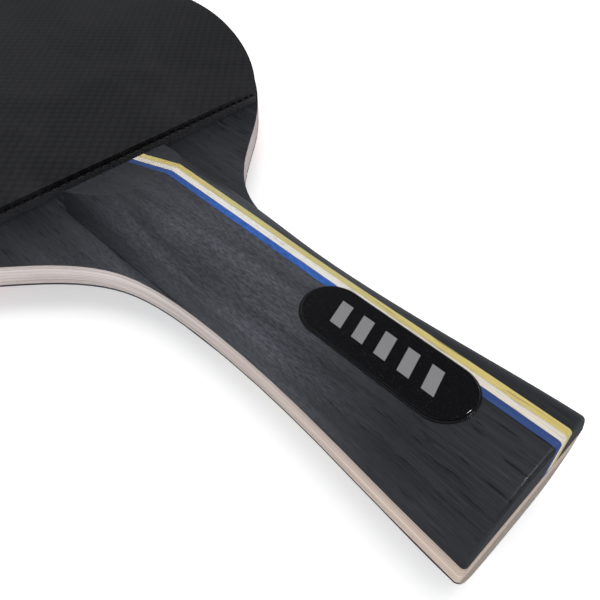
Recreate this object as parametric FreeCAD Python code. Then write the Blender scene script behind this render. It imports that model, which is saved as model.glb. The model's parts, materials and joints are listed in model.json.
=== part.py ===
import FreeCAD, Part
import math
import os

# Table tennis paddle with a flared handle, in millimetres.
# Origin: middle of the butt end, on the mid-plane of the blade.
# +Y runs from the butt towards the head, +Z out of the front (badge) face,
# and +X to the right when the front face is seen with the head up.

Vector = FreeCAD.Vector
ORIGIN = Vector(0, 0, 0)
UP = Vector(0, 0, 1)
ALONG = Vector(0, 1, 0)

# Blade plies, from the mid-plane outwards
CORE_THICKNESS = 3.2
MEDIAL_THICKNESS = 1.0
OUTER_THICKNESS = 0.5
BLADE_FACE_Z = CORE_THICKNESS / 2 + MEDIAL_THICKNESS + OUTER_THICKNESS

# Blade outline: half widths along the handle, then the shoulder and the head
BUTT_HALF_WIDTH = 17.1
BUTT_CORNER_RADIUS = 0.8
GRIP_STATIONS = [(16.2, 15.0), (15.0, 30.0), (14.2, 45.0), (14.2, 60.0)]
SHOULDER_POINTS = [(15.3, 75.0), (18.7, 88.0), (27.7, 100.0), (41.9, 112.0), (59.6, 133.0), (71.7, 160.0)]
HEAD_HALF_WIDTH = 75.5
HEAD_WIDEST_Y = 188.0
PADDLE_LENGTH = 264.0

# Handle scales: crowned half shells glued to each face of the blade
SCALE_HEIGHT = 9.3
SCALE_LENGTH = 116.0
NECK_HALF_WIDTHS = [(15.0, 75.0), (15.4, 89.0), (15.6, 103.0), (15.7, 118.0)]
CROWN_POWER = 5.0
SIDE_LEAN_DEG = 25.0
CROWN_STEPS = 16
BUTT_EDGE_RADIUS = 0.8
RAMP_START_Y = 97.0
RAMP_SLOPE_DEG = 17.0
NOSE_RADIUS = 2.2
NOSE_CORNER_RADIUS = 4.0

# Inlaid veneer strips that run the full length and height of each scale
STRIP_START_X = 3.1
STRIP_WIDTH = 1.6
STRIP_NAMES = ["blue_strip", "white_strip", "yellow_strip"]

# Badge on the front scale: thin rim plate, glossy dome and inlaid slanted bars
BADGE_CENTRE_X = -0.5
BADGE_CENTRE_Y = 30.4
BADGE_LENGTH = 36.5
BADGE_WIDTH = 12.2
BADGE_RIM_WIDTH = 0.35
BADGE_PLATE_THICKNESS = 0.25
BADGE_DOME_HEIGHT = 0.55
BADGE_DOME_EDGE_RADIUS = 0.4
BAR_COUNT = 5
BAR_PITCH = 5.0
BAR_LENGTH = 5.2
BAR_WIDTH = 2.5
BAR_SLANT = 1.6
BAR_DEPTH = 0.2

# Rubber sheets on both sides of the head, pimples facing the sponge
RUBBER_START_Y = 119.0
RUBBER_EDGE_INSET = 0.5
SPONGE_THICKNESS = 2.1
PIMPLE_HEIGHT = 0.9
PIMPLE_FIELD_INSET = 1.6
SHEET_THICKNESS = 0.9

# Cutting tools: a length that clears the whole part, a small overlap, and a length counted as nothing
CLEAR = 40.0
OVERLAP = 1.0
TOUCHING = 0.01


def mirrored(points):
    """The same points on the left-hand side, in reverse order."""
    return [Vector(-p.x, p.y, p.z) for p in reversed(points)]


def spline(points, start_tangent, end_tangent):
    curve = Part.BSplineCurve()
    curve.interpolate(Points=points, InitialTangent=start_tangent, FinalTangent=end_tangent)
    return curve


def inset_points(points, curve, inset):
    """The points moved square to the curve, towards the inside of the blade."""
    moved = []
    for point in points:
        along = curve.tangent(curve.parameter(point))[0]
        outward = Vector(along.y, -along.x, 0)
        moved.append(point - outward * inset)
    return moved


def blade_outline(inset):
    """Closed outline of the blade: flat butt, waisted grip, shoulders and an oval head."""
    radius = BUTT_CORNER_RADIUS
    side = [Vector(BUTT_HALF_WIDTH, radius, 0)]
    side += [Vector(x, y, 0) for x, y in GRIP_STATIONS + SHOULDER_POINTS]
    side.append(Vector(HEAD_HALF_WIDTH, HEAD_WIDEST_Y, 0))
    flare = (side[1] - side[0]).normalize()
    side = inset_points(side, spline(side, flare, ALONG), inset)
    far_side = mirrored(side)

    centre = Vector(0, HEAD_WIDEST_Y, 0)
    top = Vector(0, PADDLE_LENGTH - inset, 0)
    head = Part.Ellipse(top, side[-1], centre)
    top_arc = Part.ArcOfEllipse(head, head.parameter(far_side[0]), head.parameter(side[-1]))

    bend = radius * (1 - math.sqrt(0.5))
    corner = [side[0] + Vector(-radius, -radius, 0), side[0] + Vector(-bend, bend - radius, 0), side[0]]
    edges = [
        Part.Arc(*corner).toShape(),
        spline(side, flare, ALONG).toShape(),
        top_arc.toShape(),
        spline(far_side, -ALONG, Vector(flare.x, -flare.y, 0)).toShape(),
        Part.Arc(*mirrored(corner)).toShape(),
        Part.makeLine(mirrored(corner)[-1], corner[0]),
    ]
    return Part.Wire(Part.__sortEdges__(edges))


def ply(outline, bottom_z, thickness):
    sheet = Part.Face(outline).extrude(UP * thickness)
    return sheet.translated(UP * bottom_z)


def crown_section(half_width, height, y):
    """One cross-section of a scale: flat foot, sides that lean inwards and a crowned top."""
    lean = math.tan(math.radians(SIDE_LEAN_DEG))
    side = []
    for step in range(CROWN_STEPS):
        up = math.sin(math.pi / 2 * step / CROWN_STEPS)
        across = (1 - up ** CROWN_POWER) ** (1 / CROWN_POWER)
        side.append(Vector(half_width * across - height * up * lean, y, BLADE_FACE_Z + height * up))
    crest = Vector(0, y, BLADE_FACE_Z + height)
    points = side + [crest] + mirrored(side)
    crown = Part.BSplineCurve()
    crown.interpolate(points)
    foot = Part.makeLine(points[-1], points[0])
    return Part.Wire([crown.toShape(), foot])


def crowned_body(extra_height):
    """Scale body before shaping its ends, optionally raised to carry the badge layers."""
    flare = (BUTT_HALF_WIDTH - GRIP_STATIONS[0][0]) / GRIP_STATIONS[0][1]
    stations = [(BUTT_HALF_WIDTH + flare * OVERLAP, -OVERLAP)]
    stations += GRIP_STATIONS + NECK_HALF_WIDTHS
    sections = [crown_section(x, SCALE_HEIGHT + extra_height, y) for x, y in stations]
    return Part.makeLoft(sections, True, False)


def ramp_tool():
    """Removes everything above the ramp that runs down to the rounded nose at the neck."""
    top = BLADE_FACE_Z + SCALE_HEIGHT
    slope = math.tan(math.radians(RAMP_SLOPE_DEG))
    nose_y = SCALE_LENGTH - NOSE_RADIUS
    nose_z = top - (nose_y - RAMP_START_Y) * slope
    bend = NOSE_RADIUS * math.sqrt(0.5)
    high = Vector(-CLEAR, RAMP_START_Y - CLEAR, top + CLEAR * slope)
    tip = Vector(-CLEAR, nose_y, nose_z)
    turned = Vector(-CLEAR, nose_y + bend, nose_z - NOSE_RADIUS + bend)
    front = Vector(-CLEAR, SCALE_LENGTH, nose_z - NOSE_RADIUS)
    below = Vector(-CLEAR, SCALE_LENGTH, BLADE_FACE_Z - OVERLAP)
    far_below = below + ALONG * CLEAR
    far_above = Vector(-CLEAR, far_below.y, high.z)
    corners = [front, below, far_below, far_above, high, tip]
    edges = [Part.makeLine(a, b) for a, b in zip(corners, corners[1:])]
    edges.append(Part.Arc(tip, turned, front).toShape())
    profile = Part.Face(Part.Wire(edges))
    return profile.extrude(Vector(2 * CLEAR, 0, 0))


def plan_limit():
    """Upright block with rounded corners that squares the butt and rounds the nose in plan."""
    foot_z = BLADE_FACE_Z - OVERLAP
    half = BUTT_HALF_WIDTH + OVERLAP
    block = Part.makeBox(2 * half, RAMP_START_Y, 2 * CLEAR, Vector(-half, 0, foot_z))
    nose_half = NECK_HALF_WIDTHS[-1][0]
    tongue = Part.makeBox(2 * nose_half, SCALE_LENGTH, 2 * CLEAR, Vector(-nose_half, 0, foot_z))
    corners = [edge for edge in tongue.Edges if is_upright(edge) and edge.BoundBox.YMin > RAMP_START_Y]
    tongue = tongue.makeFillet(NOSE_CORNER_RADIUS, corners)
    return block.fuse(tongue).removeSplitter()


def is_upright(edge):
    return edge.BoundBox.ZLength > CLEAR


def butt_edges(shape):
    """Curved edges where the crowned surface meets the flat butt end."""
    found = []
    for edge in shape.Edges:
        box = edge.BoundBox
        in_end_plane = box.YMax < TOUCHING
        is_foot = box.ZMax < BLADE_FACE_Z + TOUCHING
        if in_end_plane and not is_foot:
            found.append(edge)
    return found


def scale_body():
    body = crowned_body(0).common(plan_limit()).cut(ramp_tool())
    return body.makeFillet(BUTT_EDGE_RADIUS, butt_edges(body))


def slab(from_x, to_x):
    corner = Vector(from_x, -OVERLAP, BLADE_FACE_Z - OVERLAP)
    return Part.makeBox(to_x - from_x, SCALE_LENGTH + CLEAR, CLEAR, corner)


def split_scale(body):
    """Cuts the scale into its main block, the three veneer strips and the edge block."""
    pieces = {"main_block": body.common(slab(-CLEAR, STRIP_START_X))}
    from_x = STRIP_START_X
    for name in STRIP_NAMES:
        pieces[name] = body.common(slab(from_x, from_x + STRIP_WIDTH))
        from_x += STRIP_WIDTH
    pieces["edge_block"] = body.common(slab(from_x, CLEAR))
    return pieces


def stadium(length, width, inset):
    """Upright prism with straight sides along Y and two round ends, centred on the badge."""
    radius = width / 2 - inset
    reach = (length - width) / 2
    centre = Vector(BADGE_CENTRE_X, BADGE_CENTRE_Y, 0)
    right = centre + Vector(radius, 0, 0)
    left = centre - Vector(radius, 0, 0)
    ahead = ALONG * reach
    tip = ALONG * (reach + radius)
    edges = [
        Part.makeLine(right - ahead, right + ahead),
        Part.Arc(right + ahead, centre + tip, left + ahead).toShape(),
        Part.makeLine(left + ahead, left - ahead),
        Part.Arc(left - ahead, centre - tip, right - ahead).toShape(),
    ]
    return Part.Face(Part.Wire(edges)).extrude(UP * CLEAR)


def badge_layer(bottom, top, inset):
    """Slice of the badge between two heights above the crowned surface of the scale."""
    prism = stadium(BADGE_LENGTH, BADGE_WIDTH, inset)
    return prism.common(crowned_body(top)).cut(crowned_body(bottom))


def slanted_bars(bottom, top):
    """Row of equal slanted bars, inlaid flush with the top of the dome."""
    upper = crowned_body(top)
    lower = crowned_body(bottom)
    bars = []
    for index in range(BAR_COUNT):
        y = BADGE_CENTRE_Y + (index - (BAR_COUNT - 1) / 2) * BAR_PITCH
        left = BADGE_CENTRE_X - BAR_LENGTH / 2
        right = BADGE_CENTRE_X + BAR_LENGTH / 2
        low = y - BAR_WIDTH / 2
        high = y + BAR_WIDTH / 2
        lean = BAR_SLANT / 2
        corners = [
            Vector(left, low - lean, 0),
            Vector(right, low + lean, 0),
            Vector(right, high + lean, 0),
            Vector(left, high - lean, 0),
        ]
        prism = Part.Face(Part.makePolygon(corners + corners[:1])).extrude(UP * CLEAR)
        bars.append(prism.common(upper).cut(lower).Solids[0])
    return Part.makeCompound(bars)


def badge():
    plate_top = BADGE_PLATE_THICKNESS
    dome_top = plate_top + BADGE_DOME_HEIGHT
    plate = badge_layer(0, plate_top, 0)
    dome = badge_layer(plate_top, dome_top, BADGE_RIM_WIDTH)
    top_face = max(dome.Faces, key=lambda face: face.CenterOfMass.z)
    dome = dome.makeFillet(BADGE_DOME_EDGE_RADIUS, top_face.Edges)
    bars = slanted_bars(dome_top - BAR_DEPTH, dome_top)
    return {"badge_plate": plate, "badge_dome": dome.cut(bars), "badge_bars": bars}


def head_region(inset):
    """Area of the head that carries rubber, drawn in by the given distance."""
    outline = Part.Face(blade_outline(inset))
    start = Vector(-HEAD_HALF_WIDTH, RUBBER_START_Y + inset, 0)
    return outline.common(Part.makePlane(2 * HEAD_HALF_WIDTH, PADDLE_LENGTH, start)).Faces[0]


def rubber():
    """Sponge, and a topsheet whose pimple field stands back from the rim."""
    sponge = head_region(RUBBER_EDGE_INSET).extrude(UP * SPONGE_THICKNESS)
    sponge.translate(UP * BLADE_FACE_Z)
    field_z = BLADE_FACE_Z + SPONGE_THICKNESS
    field = head_region(RUBBER_EDGE_INSET + PIMPLE_FIELD_INSET).extrude(UP * PIMPLE_HEIGHT)
    field.translate(UP * field_z)
    sheet = head_region(RUBBER_EDGE_INSET).extrude(UP * SHEET_THICKNESS)
    sheet.translate(UP * (field_z + PIMPLE_HEIGHT))
    return {"sponge": sponge, "topsheet": sheet.fuse(field)}


def turned_over(shape):
    """The same piece on the rear face: half a turn about the long axis."""
    return shape.rotated(ORIGIN, ALONG, 180)


def build():
    outline = blade_outline(0)
    medial_z = CORE_THICKNESS / 2
    outer_z = medial_z + MEDIAL_THICKNESS
    pieces = {"core_ply": ply(outline, -CORE_THICKNESS / 2, CORE_THICKNESS)}
    for_each_face = {
        "medial_ply": ply(outline, medial_z, MEDIAL_THICKNESS),
        "outer_ply": ply(outline, outer_z, OUTER_THICKNESS),
    }
    for name, shape in split_scale(scale_body()).items():
        for_each_face["scale_" + name] = shape
    for name, shape in rubber().items():
        for_each_face[name] = shape
    for name, shape in for_each_face.items():
        pieces["front_" + name] = shape
        pieces["rear_" + name] = turned_over(shape)
    pieces.update(badge())
    return pieces


os.makedirs("parts", exist_ok=True)
for node, shape in build().items():
    shape.exportStep("parts/" + node + ".step")
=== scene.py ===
import json
import math

import bmesh
import bpy
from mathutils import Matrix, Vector


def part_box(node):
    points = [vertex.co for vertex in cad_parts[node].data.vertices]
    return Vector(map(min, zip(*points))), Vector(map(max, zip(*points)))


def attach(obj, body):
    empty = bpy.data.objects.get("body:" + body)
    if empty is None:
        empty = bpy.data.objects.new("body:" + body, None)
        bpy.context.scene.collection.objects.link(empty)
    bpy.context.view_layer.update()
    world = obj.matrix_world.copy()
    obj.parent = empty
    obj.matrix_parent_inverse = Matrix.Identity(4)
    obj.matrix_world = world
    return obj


# Looks for a table tennis paddle. Metres, in the part's own frame:
# +Y from the butt towards the head, +Z out of the front face.

MM = 0.001

# Which way each face looks along Z
FACES = {"front": 1, "rear": -1}

# Camera: close to the handle, to its left, above it and just behind the butt. The angles are in
# degrees and the lens in millimetres, and nothing nearer than the last value is drawn
CAMERA_FROM_BUTT = Vector((-0.0584, -0.0084, 0.0959))
CAMERA_AZIMUTH = -44.3
CAMERA_ELEVATION = 46.4
CAMERA_LENS = 38.2
CAMERA_NEAREST = 5 * MM

# Pimples that show in the gap between each topsheet and its sponge
PIMPLE_SPACING = 2.3 * MM
PIMPLE_INSET = 0.75 * MM
PIMPLE_TOP_RADIUS = 0.55 * MM
PIMPLE_FOOT_RADIUS = 0.75 * MM
PIMPLE_SIDES = 12

# Steps along the rim that are shorter than this have no direction
NO_STEP = 1e-9

# Points of a sheet closer in height than the first are on one level; levels further apart than
# the second are different ones
SAME_LEVEL = 0.01 * MM
OTHER_LEVEL = 0.1 * MM

# Pimples also show faintly through the topsheets: how many there are per metre, and the turn of
# their rows
PIMPLES_PER_METRE = 430
PIMPLE_ROWS_TURN = math.radians(45)

# Room: its colour, its strength as light, its dimmest and brightest in reflections, and its
# strength as the backdrop that the camera sees
ROOM_COLOUR = (0.95, 0.98, 1.04)
ROOM_LIGHT = 0.34
REFLECTED_ROOM = (0.05, 0.18)
REFLECTED_ROOM_SPAN = (0.35, 0.85)
BACKDROP = 0.85

# Floor: width, own glow as light and as seen in reflections, and its colours
FLOOR_SIZE = 12
FLOOR_GLOW = (0.50, 0.02)
FLOOR_WHITES = ((0.86, 0.86, 0.86), (0.90, 0.90, 0.90))
REFLECTED_FLOOR = (0.30, 0.31, 0.33)

# Lamps: place, target, width and height, watts, colour, and the rays that don't see the lamp
MID_GRIP = (0, 0.08, 0)
BUTT_TOP = (0, 0, 0.01)
LAMPS = {
    "overhead": ((0.05, 0.10, 0.90), MID_GRIP, (0.90, 0.90), 5.5, (1.0, 0.98, 0.95), "visible_glossy"),
    "fill": ((-0.60, -0.45, 0.45), MID_GRIP, (0.80, 0.80), 1.7, (0.98, 0.98, 1.0), "visible_glossy"),
    "edge_glint": ((0.275, -0.17, 0.50), BUTT_TOP, (0.02, 0.08), 0.45, (1, 1, 1), "visible_diffuse"),
}

# Painted sheen along the grip, standing in for soft reflected light: distances from the butt at which
# the painted sheen starts, is full, begins to fade and ends
GRIP_SHEEN_SPAN = (20 * MM, 48 * MM, 80 * MM, 112 * MM)

# Bare ply edges are warmer towards the butt, over this length
BUTT_AGEING = 70 * MM
AGED_TINT = (1.04, 0.94, 0.80)

# Length of the sloping front end of each scale, which the paddle does not rest on
RAMP_LENGTH = 19 * MM

# Faces whose outward Y is below this look out of the butt end
BUTT_FACING = -0.9

# Rays that look for a near edge where edges are rounded
EDGE_SAMPLES = 6

# Colour sockets of a Mix node, which also has number and vector sockets of the same names
MIX_FIRST = 6
MIX_SECOND = 7
MIX_RESULT = 2


class Graph:
    """A material's node tree, with short calls to add nodes and join them."""

    def __init__(self, name):
        self.material = bpy.data.materials.new(name)
        self.material.use_nodes = True
        self.tree = self.material.node_tree
        self.surface = self.tree.nodes["Principled BSDF"]
        self.place = self.add("ShaderNodeTexCoord").outputs["Object"]

    def add(self, kind, settings=None, **inputs):
        node = self.tree.nodes.new(kind)
        for key, value in (settings or {}).items():
            setattr(node, key, value)
        for key, value in inputs.items():
            self.put(node.inputs[key.replace("_", " ")], value)
        return node

    def put(self, socket, value):
        feed(self.tree, socket, value)

    def set(self, **inputs):
        for key, value in inputs.items():
            self.put(self.surface.inputs[key.replace("_", " ")], value)

    def stretched(self, across, along, up, turn=0.0):
        """Object coordinates counted in features per metre along each axis."""
        scale = Vector((across, along, up))
        turned = (0, 0, turn)
        return self.add("ShaderNodeMapping", Vector=self.place, Scale=scale, Rotation=turned).outputs[0]

    def noise(self, where, detail=4.0, roughness=0.55, distortion=0.0):
        return self.add("ShaderNodeTexNoise", Vector=where, Scale=1.0, Detail=detail,
                        Roughness=roughness, Distortion=distortion).outputs["Fac"]

    def ramp(self, factor, stops):
        """Colour ramp: stops are (position, grey value or colour)."""
        node = self.add("ShaderNodeValToRGB", Fac=factor)
        elements = node.color_ramp.elements
        while len(elements) < len(stops):
            elements.new(0.5)
        for element, (position, colour) in zip(elements, stops):
            element.position = position
            element.color = rgba(colour)
        return node.outputs["Color"]

    def mix(self, factor, first, second, blend="MIX"):
        node = self.add("ShaderNodeMix", {"data_type": "RGBA", "blend_type": blend})
        self.put(node.inputs["Factor"], factor)
        self.put(node.inputs[MIX_FIRST], as_colour(first))
        self.put(node.inputs[MIX_SECOND], as_colour(second))
        return node.outputs[MIX_RESULT]

    def between(self, factor, low, high):
        """Maps 0..1 to low..high."""
        return self.add("ShaderNodeMapRange", Value=factor, To_Min=low, To_Max=high).outputs["Result"]

    def rising(self, value, start, end):
        """0 where the value is at the start, 1 where it is at the end, and straight in between."""
        return self.add("ShaderNodeMapRange", Value=value, From_Min=start, From_Max=end).outputs["Result"]

    def bump(self, height, depth, normal=None):
        """Normal with the given relief in metres, on top of an earlier normal."""
        node = self.add("ShaderNodeBump", Height=height, Strength=1.0, Distance=depth)
        if normal is not None:
            self.put(node.inputs["Normal"], normal)
        return node.outputs["Normal"]

    def calculate(self, operation, first, second):
        node = self.add("ShaderNodeMath", {"operation": operation})
        self.put(node.inputs[0], first)
        self.put(node.inputs[1], second)
        return node.outputs[0]

    def coordinate(self, axis):
        """Where the surface is along one axis, in metres."""
        return self.add("ShaderNodeSeparateXYZ", Vector=self.place).outputs[axis]

    def butt_end(self):
        """1 on faces that look out of the butt end, 0 elsewhere."""
        outward = self.add("ShaderNodeTexCoord").outputs["Normal"]
        facing = self.add("ShaderNodeSeparateXYZ", Vector=outward).outputs["Y"]
        return self.calculate("LESS_THAN", facing, BUTT_FACING)

    def rear_half(self):
        """1 below the mid-plane of the blade, 0 above it."""
        return self.calculate("LESS_THAN", self.coordinate("Z"), 0.0)

    def along_handle(self, stretch):
        """Rises from 0 to 1 over the first two distances from the butt and falls over the last two."""
        distance = self.coordinate("Y")
        start, full, fade, end = stretch
        first = self.rising(distance, start, full)
        last = self.rising(distance, end, fade)
        return self.calculate("MULTIPLY", first, last)

    def soft_edges(self, radius):
        """Normal that rounds sharp edges, so that they catch the light."""
        return self.add("ShaderNodeBevel", {"samples": EDGE_SAMPLES}, Radius=radius).outputs["Normal"]


def feed(tree, socket, value):
    """A socket takes either a plain value or another node's output."""
    if isinstance(value, bpy.types.NodeSocket):
        tree.links.new(value, socket)
    else:
        socket.default_value = value


def as_colour(value):
    return value if isinstance(value, bpy.types.NodeSocket) else rgba(value)


def rgba(colour):
    if isinstance(colour, (int, float)):
        return (colour, colour, colour, 1.0)
    return (*colour, 1.0)


def painted_grip_sheen(graph):
    """Painted sheen: how much lighter the grip is painted, standing in for soft reflected light; streaky,
    speckled, and only along the grip.
    """
    sheen_streaks = graph.noise(graph.stretched(150, 18, 150), detail=5, roughness=0.6, distortion=0.5)
    sheen_specks = graph.noise(graph.stretched(3000, 700, 3000), detail=4, roughness=0.7)
    # Painted sheen mask along the grip, broken up by streaks and specks
    sheen_mask = graph.along_handle(GRIP_SHEEN_SPAN)
    sheen_mask = graph.calculate("MULTIPLY", sheen_mask, graph.ramp(sheen_streaks, [(0.34, 0.25), (0.60, 1.0)]))
    return graph.calculate("MULTIPLY", sheen_mask, graph.ramp(sheen_specks, [(0.36, 0.25), (0.62, 1.0)]))


def bare_end_grain(graph):
    """Colour of unstained wood where it is sawn across."""
    end_grain = graph.noise(graph.stretched(3200, 3200, 1100), detail=4)
    return graph.ramp(end_grain, [(0.35, (0.30, 0.24, 0.19)), (0.65, (0.50, 0.43, 0.37))])


def stained_wood(name, dark, mid, light, sheen_colour, gloss):
    """Dyed veneer under thin lacquer: long fibres, darker pores, slow bands and a painted sheen along the
    grip.
    """
    graph = Graph(name)
    bands = graph.noise(graph.stretched(260, 7, 260), detail=3, distortion=0.4)
    fibres = graph.noise(graph.stretched(2600, 55, 2600), detail=5, roughness=0.62)
    hairs = graph.noise(graph.stretched(7500, 170, 7500), detail=2)
    pores = graph.noise(graph.stretched(2000, 150, 2000), detail=2)
    pores = graph.ramp(pores, [(0.60, 0.0), (0.70, 1.0)])

    tone = graph.mix(0.62, graph.ramp(fibres, [(0.26, 0.0), (0.76, 1.0)]), bands)
    tone = graph.mix(0.30, tone, hairs)
    colour = graph.ramp(tone, [(0.24, dark), (0.50, mid), (0.78, light)])
    colour = graph.mix(pores, colour, [0.75 * c for c in dark])
    # Painted sheen: the grip is painted towards the sheen colour, a stand-in for soft reflected light
    colour = graph.mix(painted_grip_sheen(graph), colour, sheen_colour)
    sawn = graph.butt_end()
    unstained = graph.calculate("MULTIPLY", sawn, graph.rear_half())
    colour = graph.mix(unstained, colour, bare_end_grain(graph))

    relief = graph.mix(0.35, fibres, hairs)
    relief = graph.mix(pores, relief, 0.0)
    rounded = graph.soft_edges(0.35 * MM)
    graph.set(Base_Color=colour, Roughness=graph.between(bands, 0.38, 0.54))
    graph.set(Normal=graph.bump(relief, 0.05 * MM, rounded), Coat_Normal=rounded)
    graph.set(Specular_IOR_Level=graph.between(sawn, 0.5, 0.15))
    graph.set(Coat_Weight=graph.between(sawn, gloss, 0.0), Coat_Roughness=0.16)
    return graph.material


def layered_wood(name, dark, light, layer_pitch):
    """Bare ply edge: thin layers stacked through the thickness, warmer with age towards the butt."""
    graph = Graph(name)
    layers = graph.noise(graph.stretched(25, 14, 1 / layer_pitch), detail=4, roughness=0.7)
    fibres = graph.noise(graph.stretched(900, 160, 6500), detail=4)
    drift = graph.noise(graph.stretched(45, 30, 300), detail=2)
    tone = graph.mix(0.35, graph.ramp(layers, [(0.34, 0.0), (0.66, 1.0)]), fibres)
    tone = graph.mix(0.30, tone, drift)
    colour = graph.ramp(tone, [(0.25, dark), (0.75, light)])
    aged = graph.rising(graph.coordinate("Y"), BUTT_AGEING, 0.0)
    colour = graph.mix(aged, colour, AGED_TINT, blend="MULTIPLY")
    normal = graph.bump(graph.mix(0.5, layers, fibres), 0.06 * MM, graph.soft_edges(0.2 * MM))
    graph.set(Base_Color=colour, Roughness=graph.between(fibres, 0.42, 0.62), Normal=normal)
    graph.set(Coat_Weight=0.18, Coat_Roughness=0.25)
    return graph.material


def moulded_gloss(name, colour, roughness):
    """Cast resin: deep gloss with a faint ripple and fine dust."""
    graph = Graph(name)
    ripple = graph.noise(graph.stretched(240, 160, 240), detail=1)
    dust = graph.noise(graph.stretched(6000, 6000, 6000), detail=0)
    dust = graph.ramp(dust, [(0.70, 0.0), (0.80, 1.0)])
    normal = graph.bump(ripple, 0.03 * MM, graph.soft_edges(0.15 * MM))
    graph.set(Base_Color=graph.mix(dust, colour, [c + 0.03 for c in colour]), Normal=normal)
    graph.set(Roughness=graph.between(ripple, roughness, roughness + 0.05))
    graph.set(Coat_Weight=0.5, Coat_Roughness=0.03)
    return graph.material


def printed_grey(name, colour):
    """Flat ink with a slight metallic grain."""
    graph = Graph(name)
    grain = graph.noise(graph.stretched(9000, 9000, 9000), detail=2)
    graph.set(Base_Color=graph.mix(grain, [0.85 * c for c in colour], colour))
    graph.set(Roughness=0.42, Metallic=0.15, Normal=graph.bump(grain, 0.01 * MM))
    return graph.material


def topsheet_rubber(name, colour):
    """Grippy sheet: satin skin, pimples faintly showing through it, and dusty marks from the ball."""
    graph = Graph(name)
    grid = graph.stretched(PIMPLES_PER_METRE, PIMPLES_PER_METRE, 0, turn=PIMPLE_ROWS_TURN)
    cells = graph.add("ShaderNodeTexVoronoi", {"feature": "F1"}, Vector=grid, Scale=1.0, Randomness=0.0)
    dots = graph.ramp(cells.outputs["Distance"], [(0.28, 1.0), (0.46, 0.0)])
    skin = graph.noise(graph.stretched(5200, 5200, 5200), detail=3)
    smudge = graph.noise(graph.stretched(38, 26, 38), detail=4, distortion=0.8)
    dust = graph.noise(graph.stretched(900, 900, 900), detail=4, roughness=0.7)
    dusty = graph.calculate("MULTIPLY", graph.ramp(smudge, [(0.42, 0.0), (0.68, 0.55)]), dust)
    tinted = graph.mix(graph.between(dots, 0.0, 0.5), colour, [1.5 * c + 0.005 for c in colour])
    tinted = graph.mix(dusty, tinted, [c + 0.030 for c in colour])
    normal = graph.bump(dots, 0.010 * MM, graph.soft_edges(0.12 * MM))
    normal = graph.bump(skin, 0.004 * MM, normal)
    graph.set(Base_Color=tinted, Roughness=graph.between(smudge, 0.30, 0.46), Normal=normal)
    graph.set(Specular_IOR_Level=0.35)
    return graph.material


def porous_sponge(name, colour):
    """Foam edge: open cells painted dark as painted shade, in a matt body."""
    graph = Graph(name)
    pores = graph.noise(graph.stretched(4200, 4200, 4200), detail=3, roughness=0.7)
    shaded_pits = graph.ramp(pores, [(0.36, 0.0), (0.56, 1.0)])
    # Painted shade: the open cells are painted darker, in the same pattern as their relief
    graph.set(Base_Color=graph.mix(shaded_pits, [0.35 * c for c in colour], colour), Roughness=0.85)
    graph.set(Normal=graph.bump(shaded_pits, 0.09 * MM))
    return graph.material


def make_materials():
    return {
        "core_wood": layered_wood(
            "core_wood", dark=(0.45, 0.37, 0.35), light=(0.82, 0.74, 0.71), layer_pitch=0.30 * MM),
        "medial_wood": layered_wood(
            "medial_wood", dark=(0.37, 0.30, 0.28), light=(0.76, 0.67, 0.64), layer_pitch=0.22 * MM),
        # The fourth colour of each stained wood is the painted sheen along the grip
        "black_wood": stained_wood(
            "black_wood", dark=(0.010, 0.011, 0.014), mid=(0.022, 0.024, 0.029),
            light=(0.048, 0.052, 0.062), sheen_colour=(0.098, 0.105, 0.126), gloss=0.15),
        "blue_veneer": stained_wood(
            "blue_veneer", dark=(0.012, 0.034, 0.140), mid=(0.022, 0.062, 0.230),
            light=(0.045, 0.110, 0.360), sheen_colour=(0.035, 0.175, 0.700), gloss=0.25),
        "white_veneer": stained_wood(
            "white_veneer", dark=(0.66, 0.59, 0.48), mid=(0.84, 0.77, 0.66),
            light=(0.93, 0.88, 0.79), sheen_colour=(0.95, 0.94, 0.92), gloss=0.25),
        "yellow_veneer": stained_wood(
            "yellow_veneer", dark=(0.54, 0.40, 0.10), mid=(0.74, 0.60, 0.20),
            light=(0.86, 0.76, 0.36), sheen_colour=(0.64, 0.61, 0.29), gloss=0.25),
        "badge_rim": moulded_gloss("badge_rim", (0.010, 0.010, 0.012), roughness=0.22),
        "badge_black": moulded_gloss("badge_black", (0.004, 0.004, 0.005), roughness=0.06),
        "badge_grey": printed_grey("badge_grey", (0.30, 0.30, 0.305)),
        "sponge": porous_sponge("sponge", (0.070, 0.070, 0.076)),
        "black_rubber": topsheet_rubber("black_rubber", (0.010, 0.010, 0.011)),
        "red_rubber": topsheet_rubber("red_rubber", (0.42, 0.018, 0.020)),
    }


def dress_nodes(frame, slots, materials):
    """Every CAD node takes the material of its slot in the record."""
    for name, slot in slots.items():
        node = frame["nodes"][name]
        node.data.materials.clear()
        node.data.materials.append(materials[slot])


def rim_points(node, height):
    """Outline of a flat, bulging sheet at the given height, in order round its middle."""
    points = [v.co.copy() for v in node.data.vertices if abs(v.co.z - height) < SAME_LEVEL]
    middle = sum(points, Vector()) / len(points)
    return sorted(points, key=lambda p: math.atan2(p.y - middle.y, p.x - middle.x))


def even_spots(rim, inset, spacing):
    """Evenly spaced spots along a closed rim, each moved in by the inset."""
    spots = []
    left_over = 0.0
    for start, end in zip(rim, rim[1:] + rim[:1]):
        step = end - start
        length = step.length
        if length < NO_STEP:
            continue
        inward = Vector((-step.y, step.x, 0)) / length
        travelled = left_over
        while travelled < length:
            spots.append(start + step * (travelled / length) + inward * inset)
            travelled += spacing
        left_over = travelled - length
    return spots


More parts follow.
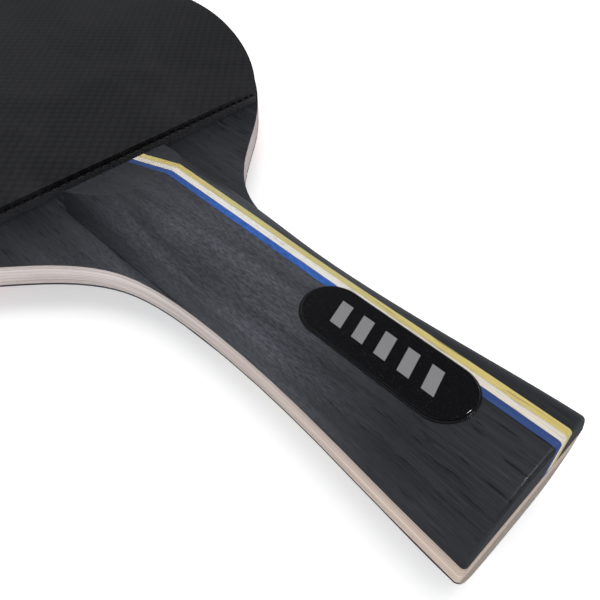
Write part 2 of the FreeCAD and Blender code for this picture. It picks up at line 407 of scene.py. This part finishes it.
def add_pimples(frame, face, slots, materials):
    """Ring of pimples between the sponge and the topsheet, just inside the rim."""
    direction = FACES[face]
    sheet = frame["nodes"][face + "_topsheet"]
    low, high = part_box(face + "_sponge")
    sponge_z = (high if direction > 0 else low).z
    low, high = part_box(face + "_topsheet")
    outer_z = (high if direction > 0 else low).z
    rim = rim_points(sheet, outer_z)
    gap_z = sheet_underside(sheet, sponge_z, outer_z)

    mesh = bmesh.new()
    for spot in even_spots(rim, PIMPLE_INSET, PIMPLE_SPACING):
        add_pimple(mesh, spot, sponge_z, gap_z)
    slot = slots[face + "_topsheet"]
    piece = object_from(mesh, face + "_pimples", materials[slot])
    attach(piece, "root")


def sheet_underside(sheet, sponge_z, outer_z):
    """Height of the topsheet's overhanging underside, between the sponge and the outer skin."""
    levels = {round(v.co.z, 6) for v in sheet.data.vertices}
    ends = (sponge_z, outer_z)
    return next(z for z in levels if all(abs(z - end) > OTHER_LEVEL for end in ends))


def add_pimple(mesh, spot, foot_z, top_z):
    """Closed, slightly tapered peg that joins the sponge to the sheet."""
    rings = []
    for z, radius in ((foot_z, PIMPLE_FOOT_RADIUS), (top_z, PIMPLE_TOP_RADIUS)):
        ring = []
        for side in range(PIMPLE_SIDES):
            angle = math.tau * side / PIMPLE_SIDES
            x = spot.x + radius * math.cos(angle)
            y = spot.y + radius * math.sin(angle)
            ring.append(mesh.verts.new((x, y, z)))
        rings.append(ring)
    foot, top = rings
    for side in range(PIMPLE_SIDES):
        after = (side + 1) % PIMPLE_SIDES
        mesh.faces.new((foot[side], foot[after], top[after], top[side]))
    mesh.faces.new(foot)
    mesh.faces.new(top)


def object_from(mesh, name, material):
    bmesh.ops.recalc_face_normals(mesh, faces=mesh.faces)
    data = bpy.data.meshes.new(name)
    mesh.to_mesh(data)
    mesh.free()
    data.materials.append(material)
    piece = bpy.data.objects.new(name, data)
    bpy.context.scene.collection.objects.link(piece)
    return piece


def pale_floor(tilt, touch):
    """Plain floor that touches the handle's lowest line and the head's far rim."""
    graph = Graph("floor")
    cloudy = graph.noise(graph.stretched(3, 3, 3), detail=2)
    white = graph.mix(cloudy, *FLOOR_WHITES)
    mirrored = graph.add("ShaderNodeLightPath").outputs["Is Glossy Ray"]
    graph.set(Base_Color=graph.mix(mirrored, white, REFLECTED_FLOOR), Roughness=0.7)
    graph.set(Emission_Color=(1, 1, 1, 1), Emission_Strength=graph.between(mirrored, *FLOOR_GLOW))
    graph.set(Specular_IOR_Level=0.2)
    bpy.ops.mesh.primitive_plane_add(size=FLOOR_SIZE, location=touch, rotation=(tilt, 0, 0))
    floor = bpy.context.object
    floor.name = "floor"
    floor.data.materials.append(graph.material)


def resting_plane():
    """Tilt and one touching point of the plane the paddle lies on, rear face down."""
    handle_low, handle_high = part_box("rear_scale_main_block")
    head_low, head_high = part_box("rear_topsheet")
    ramp_start = handle_high.y - RAMP_LENGTH
    tilt = math.atan2(head_low.z - handle_low.z, head_high.y - ramp_start)
    return tilt, Vector((0, ramp_start, handle_low.z))


def area_light(name, spot, target, size, power, colour, unseen_by):
    data = bpy.data.lights.new(name, "AREA")
    data.shape = "RECTANGLE"
    data.size, data.size_y = size
    data.energy = power
    data.color = colour
    lamp = bpy.data.objects.new(name, data)
    lamp.location = spot
    lamp.rotation_euler = (Vector(target) - Vector(spot)).to_track_quat("-Z", "Y").to_euler()
    setattr(lamp, unseen_by, False)
    bpy.context.scene.collection.objects.link(lamp)


def pick(tree, ray, usual, special):
    """Value node that gives the special strength to one kind of ray and the usual one to the rest."""
    path = tree.nodes.new("ShaderNodeLightPath")
    choice = tree.nodes.new("ShaderNodeMix")
    tree.links.new(path.outputs[ray], choice.inputs["Factor"])
    feed(tree, choice.inputs["A"], usual)
    feed(tree, choice.inputs["B"], special)
    return choice.outputs["Result"]


def studio_room():
    """Even white room for soft light; in reflections it is dim overhead and lighter beyond the head."""
    world = bpy.data.worlds.new("studio")
    world.use_nodes = True
    tree = world.node_tree
    background = tree.nodes["Background"]
    background.inputs["Color"].default_value = rgba(ROOM_COLOUR)
    toward = tree.nodes.new("ShaderNodeSeparateXYZ")
    tree.links.new(tree.nodes.new("ShaderNodeTexCoord").outputs["Generated"], toward.inputs[0])
    glow = tree.nodes.new("ShaderNodeMapRange")
    glow.inputs["From Min"].default_value, glow.inputs["From Max"].default_value = REFLECTED_ROOM_SPAN
    glow.inputs["To Min"].default_value, glow.inputs["To Max"].default_value = REFLECTED_ROOM
    tree.links.new(toward.outputs["Y"], glow.inputs["Value"])
    strength = pick(tree, "Is Glossy Ray", ROOM_LIGHT, glow.outputs["Result"])
    strength = pick(tree, "Is Camera Ray", strength, BACKDROP)
    tree.links.new(strength, background.inputs["Strength"])
    bpy.context.scene.world = world


def aim_camera():
    azimuth = math.radians(CAMERA_AZIMUTH)
    elevation = math.radians(CAMERA_ELEVATION)
    forward = Vector((
        -math.sin(azimuth) * math.cos(elevation),
        math.cos(azimuth) * math.cos(elevation),
        -math.sin(elevation),
    ))
    data = bpy.data.cameras.new("camera")
    data.lens = CAMERA_LENS
    data.clip_start = CAMERA_NEAREST
    camera = bpy.data.objects.new("camera", data)
    butt = butt_middle()
    camera.location = butt + CAMERA_FROM_BUTT
    camera.rotation_euler = forward.to_track_quat("-Z", "Y").to_euler()
    bpy.context.scene.collection.objects.link(camera)
    bpy.context.scene.camera = camera


def butt_middle():
    """Middle of the butt end, from the core ply's box."""
    low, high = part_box("core_ply")
    return Vector(((low.x + high.x) / 2, low.y, (low.z + high.z) / 2))


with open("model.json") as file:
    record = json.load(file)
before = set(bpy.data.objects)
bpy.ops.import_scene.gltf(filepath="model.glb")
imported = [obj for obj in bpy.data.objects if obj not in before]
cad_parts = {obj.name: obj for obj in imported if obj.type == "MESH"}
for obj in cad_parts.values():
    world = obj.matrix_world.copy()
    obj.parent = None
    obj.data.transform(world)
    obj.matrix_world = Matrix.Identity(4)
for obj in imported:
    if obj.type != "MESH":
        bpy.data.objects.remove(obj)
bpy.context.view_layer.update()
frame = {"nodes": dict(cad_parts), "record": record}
slots = {part["node"]: part["material_slot"] for part in frame["record"]["subparts"]}
materials = make_materials()
dress_nodes(frame, slots, materials)
for face in FACES:
    add_pimples(frame, face, slots, materials)
pale_floor(*resting_plane())
studio_room()
for lamp_name, settings in LAMPS.items():
    area_light(lamp_name, *settings)
aim_camera()
bpy.context.scene.view_settings.view_transform = "Standard"
